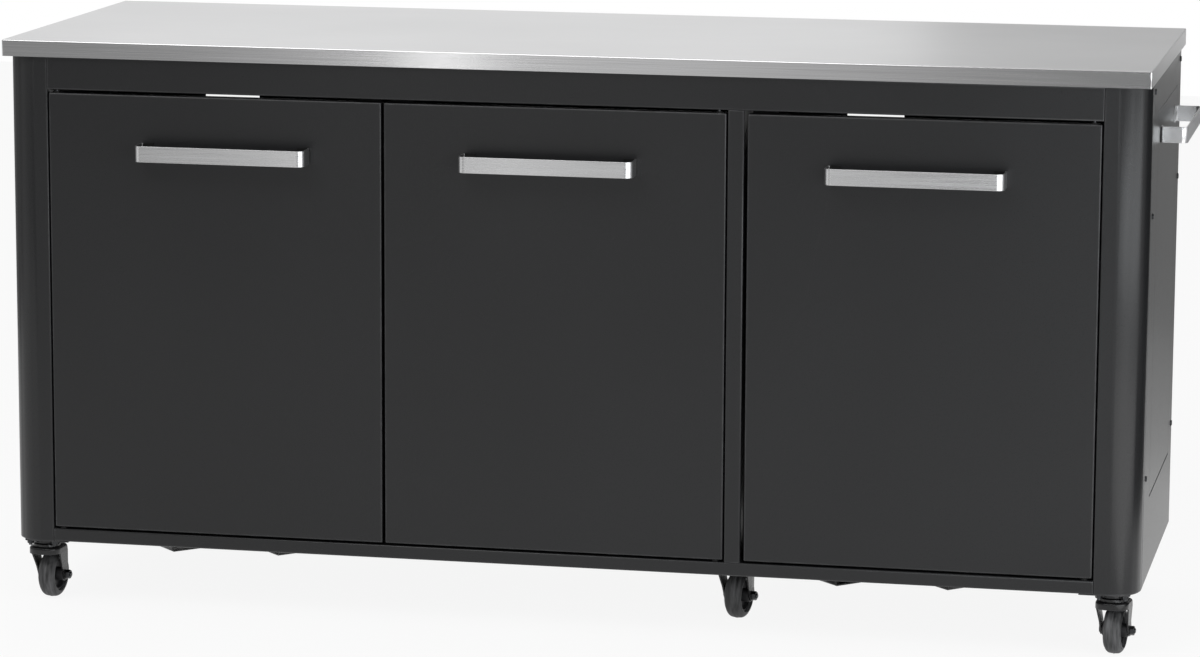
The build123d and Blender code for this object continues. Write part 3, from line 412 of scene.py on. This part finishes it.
# %% Door handles
DOORS = ("left", "middle", "right")
STRIP_THICKNESS = 0.0025
BRIDGE_RADIUS = 0.012
FOOT_RADIUS = 0.0035
FOOT_LENGTH = 0.018
BEND_STEPS = 12
STRIP_ROUNDING = 0.0004
FOOT_LAYER = 1.01 * STRIP_THICKNESS
SHARP_ANGLE = math.radians(35)


def add_piece(name, mesh):
    """Turn a finished bmesh into an object with smooth faces and sharp edges."""
    bmesh.ops.recalc_face_normals(mesh, faces=mesh.faces)
    for face in mesh.faces:
        face.smooth = True
    data = bpy.data.meshes.new(name)
    mesh.to_mesh(data)
    mesh.free()
    data.set_sharp_from_angle(angle=SHARP_ANGLE)
    piece = bpy.data.objects.new(name, data)
    bpy.context.scene.collection.objects.link(piece)
    return piece


def bend(centre, radius, start):
    """Points on a quarter turn, clockwise from a start angle in degrees."""
    angles = [math.radians(start - 90 * step / BEND_STEPS) for step in range(BEND_STEPS + 1)]
    return [(centre[0] + radius * math.cos(a), centre[1] + radius * math.sin(a)) for a in angles]


def strip_plan(half, reach, inset):
    """One face of the strip from foot to foot: pairs of length and reach."""
    front = (half - BRIDGE_RADIUS, reach - BRIDGE_RADIUS)
    foot = (half - FOOT_RADIUS, FOOT_RADIUS)
    points = bend(front, BRIDGE_RADIUS - inset, 90) + bend(foot, FOOT_RADIUS - inset, 0)
    points.append((half - STRIP_THICKNESS - FOOT_LENGTH, inset))
    return [(-along, out) for along, out in reversed(points)] + points


def bent_strip(name, low, high):
    """A strip bent to a bridge filling a box; faces on its back take material 1, a painted shade.
    """
    half = (high.x - low.x) / 2
    reach = high.y - low.y
    mesh = bmesh.new()
    rows = []
    for outer, inner in zip(strip_plan(half, reach, 0.0), strip_plan(half, reach, STRIP_THICKNESS)):
        corners = [(*outer, low.z), (*outer, high.z), (*inner, high.z), (*inner, low.z)]
        places = [(low.x + half + along, high.y - out, height) for along, out, height in corners]
        rows.append([mesh.verts.new(place) for place in places])
    for here, there in zip(rows, rows[1:]):
        for side in range(4):
            after = (side + 1) % 4
            mesh.faces.new((here[side], here[after], there[after], there[side]))
    mesh.faces.new(rows[0])
    mesh.faces.new(rows[-1])
    for face in mesh.faces:
        # feet lying on the door get material 1: black plastic as painted shade
        foot_in_painted_shade = all(high.y - vertex.co.y < FOOT_LAYER for vertex in face.verts)
        face.material_index = 1 if foot_in_painted_shade else 0
    return add_piece(name, mesh)


for door in DOORS:
    corners = [Vector(corner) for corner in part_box(f"door_handle_{door}")]
    handle = bent_strip(f"handle_strip_{door}", *corners)
    # the second material, black plastic on the feet, is painted shade
    for material in (handle_steel, dark_plastic):
        handle.data.materials.append(material)
    soften(handle, STRIP_ROUNDING)
    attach(handle, f"door_{door}")
    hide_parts(f"door_handle_{door}")
    print("handle", handle.name, [round(v, 4) for v in handle.dimensions])

# %% [markdown]
# The tyres get a finer section than the turned CAD ring: a slightly domed tread with the raised
# seam where the two halves of the mould met, and a small step where the sidewall starts. The
# section is written as points along the axle and out from it, then swept round the axle.

# %% Tyres
TYRE_SEGMENTS = 96
SHOULDER_STEPS = 8
SEAM_HALF_WIDTH = 0.0005
SEAM_HEIGHT = 0.0003
SHOULDER_RADIUS = 0.0087
SIDEWALL_STEP = 0.0006
BEAD_HEIGHT = 0.0028


def tyre_section(inner, outer, half_width):
    """Half a section from the seam to the bore: pairs of axle distance and radius."""
    tread = outer - SEAM_HEIGHT
    centre = (half_width - SIDEWALL_STEP - SHOULDER_RADIUS, tread - SHOULDER_RADIUS - SEAM_HEIGHT)
    points = [(0.0, outer), (SEAM_HALF_WIDTH, outer), (2 * SEAM_HALF_WIDTH, tread)]
    for step in range(SHOULDER_STEPS + 1):
        angle = math.pi / 2 * (1 - step / SHOULDER_STEPS)
        points.append((centre[0] + SHOULDER_RADIUS * math.cos(angle),
                       centre[1] + SHOULDER_RADIUS * math.sin(angle)))
    points.append((half_width - SIDEWALL_STEP, inner + BEAD_HEIGHT))
    points.append((half_width, inner + BEAD_HEIGHT - SIDEWALL_STEP))
    return points + [(half_width, inner), (half_width - BEAD_HEIGHT, inner)]


def lathe(name, section, centre, axle):
    """Sweep a section round a level axle through a centre point."""
    up = Vector((0, 0, 1))
    side = up.cross(axle)
    rings = []
    mesh = bmesh.new()
    for along, radius in section:
        ring = []
        for step in range(TYRE_SEGMENTS):
            angle = 2 * math.pi * step / TYRE_SEGMENTS
            spoke = side * math.cos(angle) + up * math.sin(angle)
            ring.append(mesh.verts.new(centre + axle * along + spoke * radius))
        rings.append(ring)
    for here, there in zip(rings, rings[1:] + rings[:1]):
        for step in range(TYRE_SEGMENTS):
            after = (step + 1) % TYRE_SEGMENTS
            mesh.faces.new((here[step], here[after], there[after], there[step]))
    return add_piece(name, mesh)


def add_tyre(corner):
    """Put the finer tyre in place of the plain one of a caster."""
    centre, axle = AXLES[f"wheel_{corner}"]
    plain = [vertex.co - centre for vertex in nodes[f"wheel_tyre_{corner}"].data.vertices]
    hub = [vertex.co - centre for vertex in nodes[f"wheel_hub_{corner}"].data.vertices]
    outer = max(point.z for point in plain)
    inner = max(point.z for point in hub)
    half_width = max(point.dot(axle) for point in plain)
    half = tyre_section(inner, outer, half_width)
    section = [(-along, radius) for along, radius in reversed(half[1:])] + half
    tyre = lathe(f"tyre_{corner}", section, centre, axle)
    finish(tyre, tyre_rubber)
    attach(tyre, f"wheel_{corner}")
    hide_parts(f"wheel_tyre_{corner}")


AXLES = {joint["child"]: (Vector(joint["pos_m"]), Vector(joint["axis"]))
         for joint in frame["record"]["behaviour"]["joints"]}
CORNERS = [name.removeprefix("wheel_tyre_") for name in nodes if name.startswith("wheel_tyre_")]
for corner in CORNERS:
    add_tyre(corner)
print("tyres", len(CORNERS))

# %% [markdown]
# The studio: a white floor, a white surround and large soft lamps. Light Path lets the surround
# be plain white to the camera, while the light that it sheds stays moderate. To mirrored rays it is
# duller on the front side, so that the worktop is no white patch when it is seen from the back.

# %% Floor and surround
FLOOR_SIZE = 14.0
SURROUND_LIGHT = 0.55
FRONT_MIRRORED = 0.55
FRONT_TO_MIDDLE = (-0.5, 0.0)
FLOOR_WHITE = 0.8
FLOOR_GLOW = 0.9


def seen_directly(tree):
    """1 for a ray from the camera, a mirror or glass, and 0 for the light on the object."""
    path = add_node(tree, "ShaderNodeLightPath")
    total = path.outputs["Is Camera Ray"]
    for ray in ("Is Glossy Ray", "Is Transmission Ray"):
        larger = add_node(tree, "ShaderNodeMath", {"operation": "MAXIMUM"})
        tree.links.new(total, larger.inputs[0])
        tree.links.new(path.outputs[ray], larger.inputs[1])
        total = larger.outputs[0]
    return total


def add_sheet(name, corners):
    """A flat four-cornered piece of the studio."""
    mesh = bpy.data.meshes.new(name)
    mesh.from_pydata(corners, [], [(0, 1, 2, 3)])
    sheet = bpy.data.objects.new(name, mesh)
    bpy.context.scene.collection.objects.link(sheet)
    return sheet


def flat(corners, height):
    """The corners of a lying sheet."""
    return [(*corner, height) for corner in corners]


def add_floor():
    """A large plane that looks white and still takes a soft shadow."""
    half = FLOOR_SIZE / 2
    corners = [(-half, -half), (half, -half), (half, half), (-half, half)]
    floor = add_sheet("floor", flat(corners, 0.0))
    material, tree, shader = new_material("floor_white")
    shader.inputs["Base Color"].default_value = (FLOOR_WHITE, FLOOR_WHITE, FLOOR_WHITE, 1.0)
    shader.inputs["Roughness"].default_value = 1.0
    shader.inputs["Specular IOR Level"].default_value = 0.0
    glow = add_node(tree, "ShaderNodeEmission", Strength=1.0)
    share = add_node(tree, "ShaderNodeMath", {"operation": "MULTIPLY"})
    tree.links.new(seen_directly(tree), share.inputs[0])
    share.inputs[1].default_value = FLOOR_GLOW
    mix = add_node(tree, "ShaderNodeMixShader")
    tree.links.new(share.outputs[0], mix.inputs["Fac"])
    tree.links.new(shader.outputs["BSDF"], mix.inputs[1])
    tree.links.new(glow.outputs["Emission"], mix.inputs[2])
    tree.links.new(mix.outputs["Shader"], tree.nodes["Material Output"].inputs["Surface"])
    floor.data.materials.append(material)


def light_surround():
    """White to the eye, duller to mirrors at the front, a soft even light on the object."""
    world = bpy.data.worlds.new("studio")
    world.use_nodes = True
    tree = world.node_tree
    surround = tree.nodes["Background"]
    surround.inputs["Color"].default_value = (1.0, 1.0, 1.0, 1.0)
    camera_ray = add_node(tree, "ShaderNodeLightPath").outputs["Is Camera Ray"]
    place = add_node(tree, "ShaderNodeTexCoord").outputs["Generated"]
    depth = add_node(tree, "ShaderNodeSeparateXYZ", Vector=place).outputs["Y"]
    mirrored = ramp(tree, depth, (FRONT_MIRRORED, 1.0), FRONT_TO_MIDDLE)
    shed = add_node(tree, "ShaderNodeMix", Factor=seen_directly(tree), A=SURROUND_LIGHT, B=mirrored)
    seen = add_node(tree, "ShaderNodeMix", Factor=camera_ray, A=shed.outputs["Result"], B=1.0)
    tree.links.new(seen.outputs["Result"], surround.inputs["Strength"])
    bpy.context.scene.world = world


add_floor()
light_surround()
print("floor", FLOOR_SIZE, "m wide; surround light", SURROUND_LIGHT)

# %% [markdown]
# In an all-white room steel looks like chalk. A photographer gives it shape with grey cards just
# out of the picture; here only mirrored rays meet them. The front card is graded for the front fold
# and the handles. The left, right and floor cards darken the round posts and the side fold. The
# side card grades the right wall from front to back, and the back and far cards deepen the worktop.

# %% Grey cards


def grey_card(name, corners, tones, axis="X"):
    """A card that only reflections see; its tones are evenly spaced along one axis."""
    card = add_sheet(name, corners)
    material, tree, shader = new_material(name)
    place = add_node(tree, "ShaderNodeTexCoord").outputs["Generated"]
    along = add_node(tree, "ShaderNodeSeparateXYZ", Vector=place).outputs[axis]
    scale = add_node(tree, "ShaderNodeValToRGB", Fac=along).color_ramp
    for count in range(1, len(tones) - 1):
        scale.elements.new(count / (len(tones) - 1))
    for stop, tone in zip(scale.elements, tones):
        stop.color = (tone, tone, tone, 1.0)
    glow = add_node(tree, "ShaderNodeEmission", Strength=1.0)
    tree.links.new(tree.nodes["Color Ramp"].outputs["Color"], glow.inputs["Color"])
    tree.links.new(glow.outputs["Emission"], tree.nodes["Material Output"].inputs["Surface"])
    tree.nodes.remove(shader)
    card.data.materials.append(material)
    card.visible_camera = False
    card.visible_diffuse = False
    card.visible_transmission = False
    card.visible_shadow = False
    return card


def upright(start, end, low, high):
    """The corners of a standing card between two floor points."""
    return [(*start, low), (*end, low), (*end, high), (*start, high)]


FRONT_TONES = (0.3, 0.3, 0.3, 0.33, 0.38, 0.74, 0.66, 0.44, 0.18, 0.14, 0.14)
SIDE_TONES = (0.94, 0.7, 0.58, 0.48, 0.43)
FLOOR_PLAN = flat([(1.3, -0.25), (3.3, -0.25), (1.9, 2.3), (1.25, 0.6)], 0.004)
SIDE_PLAN = flat([(0.92, 1.0), (1.5, 1.0), (1.5, 2.6), (0.92, 2.6)], 0.006)
grey_card("front_card", upright((-4.0, -3.6), (2.0, -3.6), 0.0, 2.0), FRONT_TONES)
grey_card("left_card", upright((-3.2, -0.6), (-2.2, 2.6), 0.0, 2.4), (0.35, 0.35))
grey_card("right_card", upright((3.3, 0.0), (1.9, 2.2), 0.0, 2.4), (0.02, 0.02))
grey_card("floor_card", FLOOR_PLAN, (0.05, 0.05))
grey_card("side_card", SIDE_PLAN, SIDE_TONES, "Y")
grey_card("back_card", upright((0.1, 3.2), (3.0, 3.2), 0.7, 3.5), (0.58, 0.58))
grey_card("far_card", upright((0.6, 2.6), (3.4, 2.6), 0.0, 0.6), (0.36, 0.36))

# %% [markdown]
# Large area lamps act as soft boxes. One hangs high over the front. Two stand at the right and
# draw the broad, slightly cool highlight down the round corner post, and one on the floor fills in
# below them. A narrow one at the left front puts the bright patch on the worktop's front fold.

# %% Lamps
WHITE = (1.0, 1.0, 1.0)
COOL_WHITE = (0.94, 0.975, 1.0)
CABINET_MIDDLE = (0, 0, 0.5)
POST_MIDDLE = (0.88, -0.25, 0.7)
FOLD_MIDDLE = (-0.19, -0.3, 0.9)


def soft_box(name, place, target, size, watts, colour=WHITE):
    """A rectangular lamp aimed at a point."""
    data = bpy.data.lights.new(name, "AREA")
    data.shape = "RECTANGLE"
    data.size, data.size_y = size
    data.energy = watts
    data.color = colour
    lamp = bpy.data.objects.new(name, data)
    aim = (Vector(target) - Vector(place)).to_track_quat("-Z", "Y")
    lamp.matrix_world = Matrix.Translation(place) @ aim.to_matrix().to_4x4()
    lamp.visible_camera = False
    bpy.context.scene.collection.objects.link(lamp)


soft_box("high_front", (-1.2, -3.2, 3.6), CABINET_MIDDLE, (3.0, 2.0), 70.0)
soft_box("right_front", (2.6, -1.6, 0.85), POST_MIDDLE, (2.3, 1.1), 25.0, COOL_WHITE)
soft_box("front_right", (1.6, -3.1, 0.85), POST_MIDDLE, (1.3, 1.1), 16.0, COOL_WHITE)
soft_box("right_floor", (1.6, -1.1, 0.015), (1.6, -1.1, 1.0), (1.3, 1.5), 8.0)
soft_box("low_front", (-0.955, -3.4, 0.53), FOLD_MIDDLE, (0.11, 0.6), 0.3)
print("lamps", len(bpy.data.lights))
